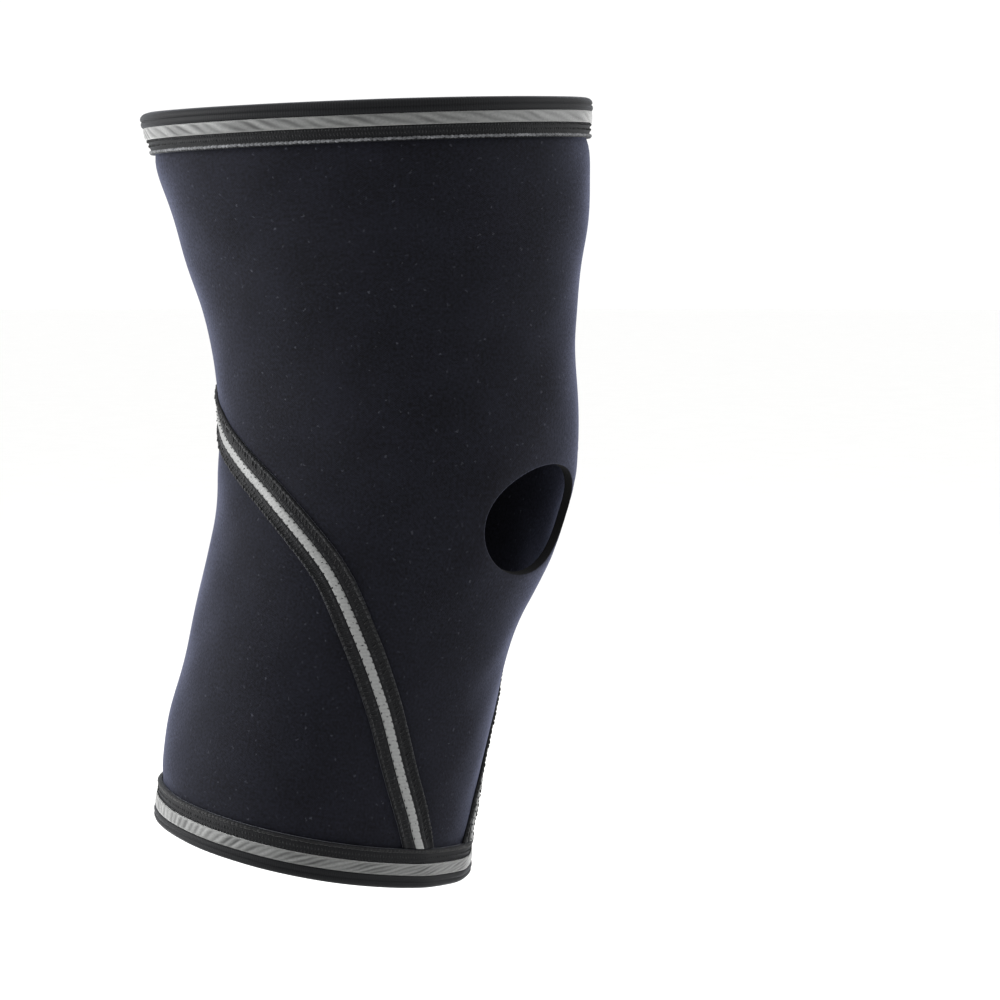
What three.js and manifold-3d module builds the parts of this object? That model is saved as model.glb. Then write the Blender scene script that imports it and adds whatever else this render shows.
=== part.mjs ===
// Knee sleeve with an open kneecap: a neoprene tube in two panels, held in the form that it has in use.
// The front panel goes round the thigh end and down the front, and the calf panel closes the back below the
// knee. One taped seam joins them: it starts at the front of the calf rim, climbs over the back of the knee
// and comes down the other side. A folded woven binding finishes each rim.
// Millimetres. +Z is up the sleeve, -Y is its front, and the two sides mirror each other across X = 0.
// The origin is in the hollow, on the centreline, behind the widest line of the kneecap opening.

import * as THREE from "three";
import { mergeVertices } from "three/addons/utils/BufferGeometryUtils.js";
import Module from "manifold-3d";

// Lengths along the centreline, from the calf rim up
const sleeveLength = 272;
const openingStation = 132;
const bendStart = 106;
const bendLength = 65;

// Degrees that the centreline leans, going up: forward at the calf end, back at the thigh end
const calfLean = 12;
const thighLean = 2.5;

// Mean radii of the outer face
const calfRimRadius = 57;
const calfRadius = 58;
const kneeRadius = 62;
const thighRadius = 72;
const thighRimRadius = 78;

// Neoprene
const wall = 3;
const clearance = 0.3;

// Kneecap opening, measured on the outer face from its widest line. A roundness of 2 is an ellipse, and a
// higher one has fuller corners.
const openingWidth = 60;
const openingRise = 20;
const openingDrop = 21.5;
const upperRoundness = 2;
const lowerRoundness = 2.4;

// Rim binding: widths run from the rim along the outer face
const bindingThickness = 1.2;
const rolledEdgeWidth = 4.8;
const rimStripeWidth = 4.4;
const stitchedEdgeWidth = 5.3;
const innerLegWidth = 10;
const foldThickness = 1.4;
const rollBulge = 0.4;

// Seam tape with its stripe, which lies in a channel down the middle
const tapeWidth = 12.5;
const tapeThickness = 1.2;
const seamStripeWidth = 3.8;
const stripeThickness = 0.5;
const tapeClearance = 0.4;
const seamGap = 0.6;

// Evenly spaced sections from the calf rim to the thigh rim. Each row holds the radii of the outer face at
// 0, 45, 90, 135 and 180 degrees from the front, as shares of the mean radius that it follows.
const sections = [
  { follows: calfRimRadius, front: 0.90, frontSide: 0.95, side: 1.02, backSide: 1.07, back: 1.12 },
  { follows: calfRadius, front: 0.87, frontSide: 0.90, side: 1.02, backSide: 1.07, back: 1.15 },
  { follows: calfRadius, front: 0.87, frontSide: 0.89, side: 1.02, backSide: 1.06, back: 1.14 },
  { follows: calfRadius, front: 0.87, frontSide: 0.90, side: 1.02, backSide: 1.04, back: 1.11 },
  { follows: calfRadius, front: 0.91, frontSide: 0.93, side: 1.03, backSide: 1.03, back: 1.08 },
  { follows: kneeRadius, front: 0.94, frontSide: 0.94, side: 0.98, backSide: 0.98, back: 0.98 },
  { follows: kneeRadius, front: 1.05, frontSide: 1.03, side: 0.99, backSide: 0.99, back: 0.97 },
  { follows: kneeRadius, front: 1.09, frontSide: 1.07, side: 1.00, backSide: 1.00, back: 0.96 },
  { follows: kneeRadius, front: 1.09, frontSide: 1.06, side: 1.01, backSide: 1.01, back: 0.99 },
  { follows: thighRadius, front: 0.98, frontSide: 0.94, side: 0.91, backSide: 0.92, back: 0.93 },
  { follows: thighRadius, front: 1.04, frontSide: 1.00, side: 0.97, backSide: 1.01, back: 1.03 },
  { follows: thighRimRadius, front: 0.97, frontSide: 0.95, side: 0.95, backSide: 1.02, back: 1.03 },
  { follows: thighRimRadius, front: 0.97, frontSide: 0.98, side: 0.99, backSide: 1.08, back: 1.10 },
];

// One half of the seam: degrees from the front, and the height as a share of the sleeve's length. It starts
// below the calf rim, so that the tape can be trimmed to the binding there.
const seamRoute = [
  { turn: 9, height: -0.03 },
  { turn: 20.3, height: 0.05 },
  { turn: 36, height: 0.151 },
  { turn: 49, height: 0.24 },
  { turn: 62.5, height: 0.324 },
  { turn: 75.5, height: 0.398 },
  { turn: 91, height: 0.453 },
  { turn: 110, height: 0.506 },
  { turn: 132, height: 0.56 },
  { turn: 155, height: 0.608 },
];
const seamCrown = { turn: 180, height: 0.627 };

// Rows of facets along the panels: wide ones on the calf, and narrow ones from the bend up, where the face
// curves both ways. Each span ends at a share of the sleeve's length.
const panelSpans = [
  { endsAt: 0.34, rows: 5 },
  { endsAt: 0.83, rows: 14 },
  { endsAt: 0.94, rows: 2 },
];

// How finely the curved faces are cut into flat ones round the sleeve, along the seam and round the opening
const facets = 46;
const seamSteps = 58;
const openingPoints = 20;

const wasm = await Module();
wasm.setup();

// The centreline runs straight, then along an arc, then straight again. Its lean changes along the arc alone.
const calfAngle = THREE.MathUtils.degToRad(-calfLean);
const thighAngle = THREE.MathUtils.degToRad(thighLean);
const bendRate = (thighAngle - calfAngle) / bendLength;

function leanAt(station) {
  return calfAngle + bendRate * THREE.MathUtils.clamp(station - bendStart, 0, bendLength);
}

// Travel along the centreline from the start of the bend: backwards in y and upwards in z.
function travelTo(station) {
  const inBend = THREE.MathUtils.clamp(station - bendStart, 0, bendLength);
  const straight = station - bendStart - inBend;
  const lean = leanAt(station);
  return {
    y: (Math.cos(calfAngle) - Math.cos(lean)) / bendRate + straight * Math.sin(lean),
    z: (Math.sin(lean) - Math.sin(calfAngle)) / bendRate + straight * Math.cos(lean),
  };
}

const openingTravel = travelTo(openingStation);

// Smooth average of neighbouring rows: a uniform cubic B-spline, carried straight on past both ends.
function smoothed(values, position) {
  const row = THREE.MathUtils.clamp(Math.floor(position), 0, values.length - 2);
  const t = position - row;
  const at = (i) => {
    if (i < 0) return 2 * values[0] - values[1];
    if (i >= values.length) return 2 * values[values.length - 1] - values[values.length - 2];
    return values[i];
  };
  return (
    ((1 - t) ** 3 * at(row - 1) +
      (3 * t ** 3 - 6 * t ** 2 + 4) * at(row) +
      (-3 * t ** 3 + 3 * t ** 2 + 3 * t + 1) * at(row + 1) +
      t ** 3 * at(row + 2)) /
    6
  );
}

// Closed cosine curve through radii that are evenly spaced from the front to the back.
function radiusThrough(radii, angle) {
  const last = radii.length - 1;
  const endsHalf = (i) => (i === 0 || i === last ? 0.5 : 1);
  return radii.reduce((radius, _, wave) => {
    const strength = radii.reduce(
      (sum, r, i) => sum + endsHalf(i) * r * Math.cos((wave * i * Math.PI) / last),
      0,
    );
    return radius + endsHalf(wave) * (2 / last) * strength * Math.cos(wave * angle);
  }, 0);
}

const radiusColumns = ["front", "frontSide", "side", "backSide", "back"].map((column) =>
  sections.map((row) => row[column] * row.follows),
);

// A point of the outer face: angle is in radians from the front, towards +X.
function outerFace(angle, station) {
  const position = (station / sleeveLength) * (sections.length - 1);
  const radius = radiusThrough(
    radiusColumns.map((column) => smoothed(column, position)),
    angle,
  );
  const lean = leanAt(station);
  const travel = travelTo(station);
  const forward = radius * Math.cos(angle);
  return new THREE.Vector3(
    radius * Math.sin(angle),
    travel.y - openingTravel.y - forward * Math.cos(lean),
    travel.z - openingTravel.z + forward * Math.sin(lean),
  );
}

// The face's two directions of travel at a point, each per unit of its own coordinate, and its normal.
function faceFrame(angle, station) {
  const step = 1e-3;
  const across = outerFace(angle + step, station)
    .sub(outerFace(angle - step, station))
    .divideScalar(2 * step);
  const up = outerFace(angle, station + step)
    .sub(outerFace(angle, station - step))
    .divideScalar(2 * step);
  return { across, up, normal: across.clone().cross(up).normalize() };
}

// A point at a height above the outer face. The neoprene's inner face is one wall below it.
function lifted(angle, station, lift) {
  return outerFace(angle, station).addScaledVector(faceFrame(angle, station).normal, lift);
}

// Moves every vertex of a shape to the place that a function gives it, and merges the ones that meet.
function reshaped(geometry, place) {
  const positions = geometry.getAttribute("position");
  for (let i = 0; i < positions.count; i++) {
    const to = place(positions.getX(i), positions.getY(i), positions.getZ(i));
    positions.setXYZ(i, to.x, to.y, to.z);
  }
  geometry.deleteAttribute("normal");
  geometry.deleteAttribute("uv");
  return mergeVertices(geometry, 1e-3);
}

// A closed outline of lifts and stations, turned round a plain cylinder and then laid on the sleeve.
function turned(outline) {
  const cylinderRadius = 100;
  const points = outline.map(([lift, station]) => new THREE.Vector2(cylinderRadius + lift, station));
  if (THREE.ShapeUtils.isClockWise(points)) points.reverse();
  points.push(points[0].clone());
  return reshaped(new THREE.LatheGeometry(points, facets), (x, y, z) =>
    lifted(Math.atan2(x, z), y, Math.hypot(x, z) - cylinderRadius),
  );
}

// The seam's line, in millimetres round the knee and along the sleeve, from the front on one side over the
// back to the front on the other.
const seamHalf = seamRoute.map(
  ({ turn, height }) =>
    new THREE.Vector2(THREE.MathUtils.degToRad(turn) * kneeRadius, height * sleeveLength),
);
const fullTurn = 2 * Math.PI * kneeRadius;
const seamLine = new THREE.SplineCurve([
  ...seamHalf,
  new THREE.Vector2(fullTurn / 2, seamCrown.height * sleeveLength),
  ...seamHalf.map((p) => new THREE.Vector2(fullTurn - p.x, p.y)).reverse(),
]);

// A strip along the seam, with a section of distances from the seam's line and lifts.
function alongSeam(section) {
  const shape = new THREE.Shape(section.map(([beside, lift]) => new THREE.Vector2(beside, lift)));
  const strip = new THREE.ExtrudeGeometry(shape, { depth: 1, steps: seamSteps, bevelEnabled: false });
  return reshaped(strip, (beside, lift, share) => {
    const at = seamLine.getPointAt(share);
    const heading = seamLine.getTangentAt(share);
    const angle = at.x / kneeRadius;
    const { across, up, normal } = faceFrame(angle, at.y);
    const along = across
      .clone()
      .multiplyScalar(heading.x / kneeRadius)
      .addScaledVector(up, heading.y);
    const sideways = normal.clone().cross(along).setLength(beside);
    // The turn and the rise that together make the sideways step along the face
    const tilt = across.dot(up);
    const size = across.lengthSq() * up.lengthSq() - tilt * tilt;
    const turn = (sideways.dot(across) * up.lengthSq() - sideways.dot(up) * tilt) / size;
    const rise = (sideways.dot(up) * across.lengthSq() - sideways.dot(across) * tilt) / size;
    return lifted(angle + turn, at.y + rise, lift);
  });
}

// A flat outline of millimetres across and up from the opening's middle, pushed through the front of the wall.
function throughFront(outline, lowest, highest) {
  const { across, up } = faceFrame(0, openingStation);
  const block = new THREE.ExtrudeGeometry(new THREE.Shape(outline), {
    depth: highest - lowest,
    steps: 1,
    bevelEnabled: false,
  });
  return reshaped(block, (x, y, z) =>
    lifted(x / across.length(), openingStation + y / up.length(), lowest + z),
  );
}

function toSolid(geometry) {
  return new wasm.Manifold(
    new wasm.Mesh({
      numProp: 3,
      vertProperties: new Float32Array(geometry.getAttribute("position").array),
      triVerts: new Uint32Array(geometry.index.array),
    }),
  );
}

function toGeometry(solid) {
  const mesh = solid.getMesh();
  return new THREE.BufferGeometry()
    .setAttribute("position", new THREE.BufferAttribute(mesh.vertProperties, 3))
    .setIndex(new THREE.BufferAttribute(mesh.triVerts, 1));
}

// Places across the width of the rim binding, from the rim
const bindingWidth = rolledEdgeWidth + rimStripeWidth + stitchedEdgeWidth;
const stripeStart = rolledEdgeWidth;
const stripeEnd = rolledEdgeWidth + rimStripeWidth;
const panelEdge = foldThickness + clearance;

// Lifts of the woven pieces that lie on the outer face
const bindingTop = clearance + bindingThickness;
const tapeTop = tapeClearance + tapeThickness;

// Stations of a depth below the thigh rim or above the calf rim
const fromThighRim = (depth) => sleeveLength - depth;
const fromCalfRim = (depth) => depth;

// The folded binding's section: an outer leg with a channel for its stripe, a rounded fold over the panel's
// edge, and an inner leg.
function bindingSection(fromRim) {
  const channelFloor = bindingTop - stripeThickness - clearance;
  const innerFace = -wall - clearance - bindingThickness;
  return [
    [clearance, bindingWidth],
    [bindingTop, bindingWidth],
    [bindingTop, stripeEnd + clearance],
    [channelFloor, stripeEnd + clearance],
    [channelFloor, stripeStart - clearance],
    [bindingTop, stripeStart - clearance],
    [bindingTop + rollBulge, stripeStart / 2],
    [clearance, 0],
    [-wall - clearance, 0],
    [innerFace, stripeStart / 2],
    [innerFace, innerLegWidth],
    [innerFace + bindingThickness, innerLegWidth],
    [innerFace + bindingThickness, foldThickness],
    [clearance, foldThickness],
  ].map(([lift, depth]) => [lift, fromRim(depth)]);
}

function rimStripeSection(fromRim) {
  return [
    [bindingTop - stripeThickness, stripeStart],
    [bindingTop, stripeStart],
    [bindingTop, stripeEnd],
    [bindingTop - stripeThickness, stripeEnd],
  ].map(([lift, depth]) => [lift, fromRim(depth)]);
}

// The tape's section: its underside and its two shoulders follow the round of the sleeve, so they hold a
// point every few millimetres.
function tapeSection() {
  const half = tapeWidth / 2;
  const channelHalf = seamStripeWidth / 2 + clearance;
  const channelFloor = tapeTop - stripeThickness - clearance;
  return [
    [-half, tapeClearance],
    [-channelHalf, tapeClearance],
    [channelHalf, tapeClearance],
    [half, tapeClearance],
    [half, tapeTop],
    [channelHalf, tapeTop],
    [channelHalf, channelFloor],
    [-channelHalf, channelFloor],
    [-channelHalf, tapeTop],
    [-half, tapeTop],
  ];
}

function seamStripeSection() {
  const half = seamStripeWidth / 2;
  return [
    [-half, tapeTop - stripeThickness],
    [half, tapeTop - stripeThickness],
    [half, tapeTop],
    [-half, tapeTop],
  ];
}

// Stations of the panels' rows. The rows at each rim match the legs of its binding.
function panelStations() {
  const stations = [panelEdge, innerLegWidth, bindingWidth].map(fromCalfRim);
  for (const { endsAt, rows } of panelSpans) {
    const start = stations[stations.length - 1];
    const width = (endsAt * sleeveLength - start) / rows;
    for (let row = 1; row <= rows; row++) stations.push(start + row * width);
  }
  return stations.concat([innerLegWidth, panelEdge].map(fromThighRim));
}

// The whole neoprene tube, between the folds of the two bindings.
function neopreneTube() {
  const stations = panelStations();
  const outside = stations.map((station) => [0, station]);
  const inside = stations.map((station) => [-wall, station]).reverse();
  return toSolid(turned([...outside, ...inside]));
}

// A quarter curve from its widest point to its highest: a roundness of 2 makes it a quarter of an ellipse.
function quarterCurve(width, height, roundness) {
  return Array.from({ length: openingPoints / 2 }, (_, i) => {
    const angle = (Math.PI * i) / openingPoints;
    return new THREE.Vector2(
      width * Math.cos(angle) ** (2 / roundness),
      height * Math.sin(angle) ** (2 / roundness),
    );
  });
}

// The opening: an upper and a lower half that share their widest line.
function openingCut() {
  const half = openingWidth / 2;
  const upper = quarterCurve(half, openingRise, upperRoundness);
  const lower = quarterCurve(half, openingDrop, lowerRoundness);
  const top = new THREE.Vector2(0, openingRise);
  const bottom = new THREE.Vector2(0, -openingDrop);
  const mirrored = (points, x, y) => points.map((p) => new THREE.Vector2(x * p.x, y * p.y));
  const outline = [
    ...upper,
    top,
    ...mirrored(upper, -1, 1).reverse(),
    ...mirrored(lower, -1, -1).slice(1),
    bottom,
    ...mirrored(lower, 1, -1).slice(1).reverse(),
  ];
  const reach = kneeRadius / 4;
  return toSolid(throughFront(outline, -wall - reach, reach));
}

// A thin blade down the seam's line, through the wall, which parts the tube into its two panels.
function seamCut() {
  const half = seamGap / 2;
  return toSolid(
    alongSeam([
      [-half, -2 * wall],
      [half, -2 * wall],
      [half, wall],
      [-half, wall],
    ]),
  );
}

// What is kept clear of the tape's ends at the calf rim.
function calfRimTrim() {
  const below = fromCalfRim(-sleeveLength / 8);
  const above = fromCalfRim(bindingWidth + clearance);
  return toSolid(
    turned([
      [-wall, below],
      [2 * wall, below],
      [2 * wall, above],
      [-wall, above],
    ]),
  );
}

// The calf panel is the part that reaches lowest at the back, behind the centreline.
function panels() {
  const parts = neopreneTube().subtract(openingCut()).subtract(seamCut()).decompose();
  const [large, small] = parts.sort((a, b) => b.volume() - a.volume());
  return { front: toGeometry(large), calf: toGeometry(small) };
}

function trimmedToCalfRim(strip) {
  return toGeometry(toSolid(strip).subtract(calfRimTrim()));
}

const neoprene = new THREE.MeshStandardMaterial({ color: 0x1d1f2b, roughness: 0.85, metalness: 0 });
const wovenBlack = new THREE.MeshStandardMaterial({ color: 0x1a1b1d, roughness: 0.8, metalness: 0 });
const wovenGrey = new THREE.MeshStandardMaterial({ color: 0x8d8f92, roughness: 0.6, metalness: 0 });

function piece(name, geometry, material) {
  const mesh = new THREE.Mesh(geometry, material);
  mesh.name = name;
  return mesh;
}

const { front, calf } = panels();
const sleeve = new THREE.Group();
sleeve.add(
  piece("front_panel", front, neoprene),
  piece("calf_panel", calf, neoprene),
  piece("seam_tape", trimmedToCalfRim(alongSeam(tapeSection())), wovenBlack),
  piece("seam_stripe", trimmedToCalfRim(alongSeam(seamStripeSection())), wovenGrey),
  piece("thigh_binding", turned(bindingSection(fromThighRim)), wovenBlack),
  piece("thigh_stripe", turned(rimStripeSection(fromThighRim)), wovenGrey),
  piece("calf_binding", turned(bindingSection(fromCalfRim)), wovenBlack),
  piece("calf_stripe", turned(rimStripeSection(fromCalfRim)), wovenGrey),
);

export default sleeve;
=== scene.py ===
# %% [markdown]
# # A knee sleeve, cut flat and put on
# A neoprene knee sleeve is made flat. The maker cuts two panels from 3 mm foam sheet with a knitted face,
# cuts a hole for the kneecap, joins the panels with one taped seam and folds a woven binding over each rim.
# This lesson works in the same order. Each piece is modelled flat, in millimetres, and one function then
# bends it round the form that the sleeve has in use. Modelling flat keeps every width, pitch and thickness
# a plain number, and the bending is written only once.

# %% Frame and libraries
import math

import bmesh
import bpy
import numpy as np
from mathutils import Matrix, Vector


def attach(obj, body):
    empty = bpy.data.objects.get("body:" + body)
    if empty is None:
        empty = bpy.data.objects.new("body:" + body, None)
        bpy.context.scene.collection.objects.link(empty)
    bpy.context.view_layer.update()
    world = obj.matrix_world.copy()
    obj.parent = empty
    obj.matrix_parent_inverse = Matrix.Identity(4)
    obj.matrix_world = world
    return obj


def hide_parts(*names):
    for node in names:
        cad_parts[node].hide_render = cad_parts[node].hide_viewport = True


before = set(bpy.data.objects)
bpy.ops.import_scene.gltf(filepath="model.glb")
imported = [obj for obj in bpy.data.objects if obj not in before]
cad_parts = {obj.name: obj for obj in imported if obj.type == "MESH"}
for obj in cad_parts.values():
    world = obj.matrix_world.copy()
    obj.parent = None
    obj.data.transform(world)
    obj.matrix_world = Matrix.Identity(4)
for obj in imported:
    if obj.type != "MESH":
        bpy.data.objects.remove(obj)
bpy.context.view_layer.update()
scene = bpy.context.scene
print("nodes:", sorted(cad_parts))

# %% [markdown]
# ## The sizes
# These are the sizes that the solids were made from, in millimetres, so a piece that fits another follows
# it. Only LOWER_ROUNDNESS differs: it is 2.4 in the solids, and the photo shows a rounder opening.

# %% Sizes of the sleeve
SLEEVE_LENGTH = 272
OPENING_STATION = 132
BEND_START = 106
BEND_LENGTH = 65
CALF_LEAN = 12
THIGH_LEAN = 2.5
WALL = 3

RADII = {"calf_rim": 57, "calf": 58, "knee": 62, "thigh": 72, "thigh_rim": 78}

OPENING_WIDTH = 60
OPENING_RISE = 20
OPENING_DROP = 21.5
UPPER_ROUNDNESS = 2
LOWER_ROUNDNESS = 2.1

ROLL_WIDTH = 4.8
RIM_STRIPE_WIDTH = 4.4
STITCHED_WIDTH = 5.3
BINDING_WIDTH = ROLL_WIDTH + RIM_STRIPE_WIDTH + STITCHED_WIDTH
INNER_LEG_WIDTH = 10
SEAM_STRIPE_WIDTH = 3.8
CLEARANCE = 0.3
print("binding width, mm:", BINDING_WIDTH)

# %% [markdown]
# ## The form that the sleeve has in use
# The body of the sleeve is a tube whose section changes along its length. Thirteen sections are enough,
# each with five radii from its front to its back. A cubic B-spline blends the rows, and a cosine curve
# joins the five radii round half a section, so the surface is smooth both ways and the sides match.
# A lattice or a sculpt could give the same form, but a table can be read, checked and scaled.

# %% Sections
SECTIONS = (
    # mean radius, then shares of it at the front, front side, side, back side and back
    ("calf_rim", 0.90, 0.95, 1.02, 1.07, 1.12),
    ("calf", 0.87, 0.90, 1.02, 1.07, 1.15),
    ("calf", 0.87, 0.89, 1.02, 1.06, 1.14),
    ("calf", 0.87, 0.90, 1.02, 1.04, 1.11),
    ("calf", 0.91, 0.93, 1.03, 1.03, 1.08),
    ("knee", 0.94, 0.94, 0.98, 0.98, 0.98),
    ("knee", 1.05, 1.03, 0.99, 0.99, 0.97),
    ("knee", 1.09, 1.07, 1.00, 1.00, 0.96),
    ("knee", 1.09, 1.06, 1.01, 1.01, 0.99),
    ("thigh", 0.98, 0.94, 0.91, 0.92, 0.93),
    ("thigh", 1.04, 1.00, 0.97, 1.01, 1.03),
    ("thigh_rim", 0.97, 0.95, 0.95, 1.02, 1.03),
    ("thigh_rim", 0.97, 0.98, 0.99, 1.08, 1.10),
)
RADIUS_ROWS = np.array([[share * RADII[row[0]] for share in row[1:]] for row in SECTIONS])
WAVES = np.arange(5)
WAVES_THROUGH_RADII = np.linalg.inv(np.cos(np.outer(WAVES * math.pi / 4, WAVES)))


def smoothed(rows, position):
    """A uniform cubic B-spline through the rows, carried straight on past both ends."""
    row = np.clip(np.floor(position).astype(int), 0, len(rows) - 2)
    t = (position - row)[:, None]
    padded = np.vstack([2 * rows[0] - rows[1], rows, 2 * rows[-1] - rows[-2]])
    before, here, ahead, after = (padded[row + k] for k in range(4))
    return (
        (1 - t) ** 3 * before
        + (3 * t**3 - 6 * t**2 + 4) * here
        + (-3 * t**3 + 3 * t**2 + 3 * t + 1) * ahead
        + t**3 * after
    ) / 6


# %% Centreline
CALF_ANGLE = math.radians(-CALF_LEAN)
THIGH_ANGLE = math.radians(THIGH_LEAN)
BEND_RATE = (THIGH_ANGLE - CALF_ANGLE) / BEND_LENGTH


def lean_at(station):
    return CALF_ANGLE + BEND_RATE * np.clip(station - BEND_START, 0, BEND_LENGTH)


def travel_to(station):
    """How far back and up the centreline has gone at a station, from the start of its bend."""
    in_bend = np.clip(station - BEND_START, 0, BEND_LENGTH)
    straight = station - BEND_START - in_bend
    lean = lean_at(station)
    back = (math.cos(CALF_ANGLE) - np.cos(lean)) / BEND_RATE + straight * np.sin(lean)
    up = (np.sin(lean) - math.sin(CALF_ANGLE)) / BEND_RATE + straight * np.cos(lean)
    return back, up


def outer_face(turn, station):
    """Points of the outer face: turn in radians from the front, station in mm from the calf rim."""
    rows = smoothed(RADIUS_ROWS, station / SLEEVE_LENGTH * (len(SECTIONS) - 1))
    strengths = rows @ WAVES_THROUGH_RADII.T
    radius = (strengths * np.cos(turn[:, None] * WAVES)).sum(axis=1)
    lean = lean_at(station)
    back, up = travel_to(station)
    start_back, start_up = travel_to(np.float64(OPENING_STATION))
    forward = radius * np.cos(turn)
    return np.stack(
        [
            radius * np.sin(turn),
            back - start_back - forward * np.cos(lean),
            up - start_up + forward * np.sin(lean),
        ],
        axis=1,
    )


def face_frame(turn, station):
    """Two directions along the face, each per unit of its coordinate, and the face's normal."""
    step = 1e-3
    across = (outer_face(turn + step, station) - outer_face(turn - step, station)) / (2 * step)
    up = (outer_face(turn, station + step) - outer_face(turn, station - step)) / (2 * step)
    normal = np.cross(across, up)
    normal /= np.linalg.norm(normal, axis=1)[:, None]
    return across, up, normal


def girth(station):
    turn = np.linspace(0, 2 * math.pi, 361)
    ring = outer_face(turn, np.full(361, float(station)))
    return np.linalg.norm(np.diff(ring, axis=0), axis=1).sum()


print("girth above the opening, mm:", round(girth(OPENING_STATION + OPENING_RISE)))

# %% [markdown]
# ## The flat pattern
# In the flat pattern x runs round the sleeve, measured at the mean knee radius, y runs up it from the calf
# rim, and z is the height above the outer face. The flat x and y are saved as the UV map before a piece
# is put on, so that each weave follows its piece and has a scale in real millimetres.

# %% Flat pattern
KNEE_RADIUS = RADII["knee"]
HALF_ROUND = math.pi * KNEE_RADIUS


def flat_points(bm):
    return np.array([vert.co[:] for vert in bm.verts])


def move_to(bm, points):
    for vert, point in zip(bm.verts, points):
        vert.co = point


def save_flat_as_uv(bm):
    uv = bm.loops.layers.uv.verify()
    for face in bm.faces:
        for loop in face.loops:
            loop[uv].uv = loop.vert.co.xy / 1000


def opening_size():
    """Half the opening's width and its rise and drop, in the flat pattern."""
    across, up, _ = face_frame(np.array([0.0]), np.array([float(OPENING_STATION)]))
    narrower, lower = KNEE_RADIUS / np.linalg.norm(across), 1 / np.linalg.norm(up)
    return OPENING_WIDTH / 2 * narrower, OPENING_RISE * lower, OPENING_DROP * lower


half_width, rise, drop = opening_size()
print("opening, mm in the flat pattern:", round(2 * half_width, 1), "x", round(rise + drop, 1))

# %% [markdown]
# ## The seam line
# The seam starts at the front of the calf rim, climbs round the side, crosses the back a little above its
# middle and comes down the other side. A Catmull-Rom curve through a short table gives its line in the flat
# pattern. It is sampled once, with the distance along it, so that tape and stitches can be spaced by real
# length. A sewn seam is never the same on both sides: below the opening this one runs 2 mm nearer to the
# front on the far side, as the photo shows, where the solids have both sides alike.

# %% Seam line
SEAM_ROUTE = (
    # degrees from the front, share of the sleeve's length
    (9, -0.03), (20.3, 0.05), (36, 0.151), (49, 0.24), (62.5, 0.324),
    (75.5, 0.398), (91, 0.453), (110, 0.506), (132, 0.56), (155, 0.608),
)
SEAM_CROWN = (180, 0.627)
FAR_SIDE_FORWARD = 2.0
FORWARD_BELOW = 110
FORWARD_OVER = 50


def seam_points():
    half = [(math.radians(turn) * KNEE_RADIUS, up * SLEEVE_LENGTH) for turn, up in SEAM_ROUTE]
    far = [(x - FAR_SIDE_FORWARD * np.clip((FORWARD_BELOW - y) / FORWARD_OVER, 0, 1), y) for x, y in half]
    crown = (HALF_ROUND, SEAM_CROWN[1] * SLEEVE_LENGTH)
    return np.array(far + [crown] + [(2 * HALF_ROUND - x, y) for x, y in reversed(half)])


def along_curve(points, per_span=60):
    """A uniform Catmull-Rom curve through the points."""
    padded = np.vstack([points[0], points, points[-1]])
    t = np.linspace(0, 1, per_span, endpoint=False)[:, None]
    spans = []
    for first in range(len(points) - 1):
        a, b, c, d = padded[first : first + 4]
        start, end = (c - a) / 2, (d - b) / 2
        spans.append(
            (2 * b - 2 * c + start + end) * t**3
            + (-3 * b + 3 * c - 2 * start - end) * t**2
            + start * t
            + b
        )
    return np.vstack(spans + [points[-1]])


SEAM = along_curve(seam_points())
seam_steps = np.diff(SEAM, axis=0)
across, up, _ = face_frame(SEAM[:-1, 0] / KNEE_RADIUS, SEAM[:-1, 1])
real_steps = across * (seam_steps[:, :1] / KNEE_RADIUS) + up * seam_steps[:, 1:]
SEAM_RUN = np.concatenate([[0], np.cumsum(np.linalg.norm(real_steps, axis=1))])
SEAM_REAL_LENGTH = SEAM_RUN[-1]
print("seam, mm along the face:", round(SEAM_REAL_LENGTH))

# %% [markdown]
# ## Putting a flat piece on
# `put_on` reads the three flat numbers off every vertex and moves it to its place on the body. It also
# adds what soft foam does. It is never quite even. It is drawn in under the bindings, swells a little at
# the front, sinks where the tape is stitched down and stands up where the binding runs over the tape's
# ends and beside the opening. Every piece goes through it, so the tapes and stitches rise and dip with the
# foam under them.

# %% Relief of soft foam
SOFT_WAVES = (
    # mm high, waves round the sleeve, mm between waves up the sleeve, and a shift in radians
    (0.22, 3, 61, 0.4),
    (0.16, 5, -43, 2.1),
    (0.10, 8, 37, 4.0),
    (0.07, 13, -29, 1.2),
)
TAPE_END = BINDING_WIDTH + CLEARANCE
SEAM_SINK = 0.55
TAPE_UNDER_BINDING = 0.45
BINDING_EASE = 6
SEAM_REACH = 7
EVERY_SEAM_POINT = 6
OPENING_SWELL = 2.0
SWELL_REACH = 0.6
RIM_GRIP = 0.9
GRIP_START, GRIP_EASE = BINDING_WIDTH + 12, 16
THIGH_TUCK = 0.4
TUCK_PLACE, TUCK_WIDTH = BINDING_WIDTH - 1.5, 3
FRONT_WAVES = (
    # mm high, station, mm wide: the foam swells above the opening and dips again further up
    (1.0, 160, 12),
    (-0.8, 187, 13),
)


def unevenness(turn, station):
    return sum(
        height * np.sin(waves * turn + 2 * math.pi * station / pitch + shift)
        for height, waves, pitch, shift in SOFT_WAVES
    )


def front_relief(turn, station):
    swell = sum(h * np.exp(-(((station - middle) / wide) ** 2)) for h, middle, wide in FRONT_WAVES)
    return swell * np.clip(np.cos(turn), 0, 1)


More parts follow.
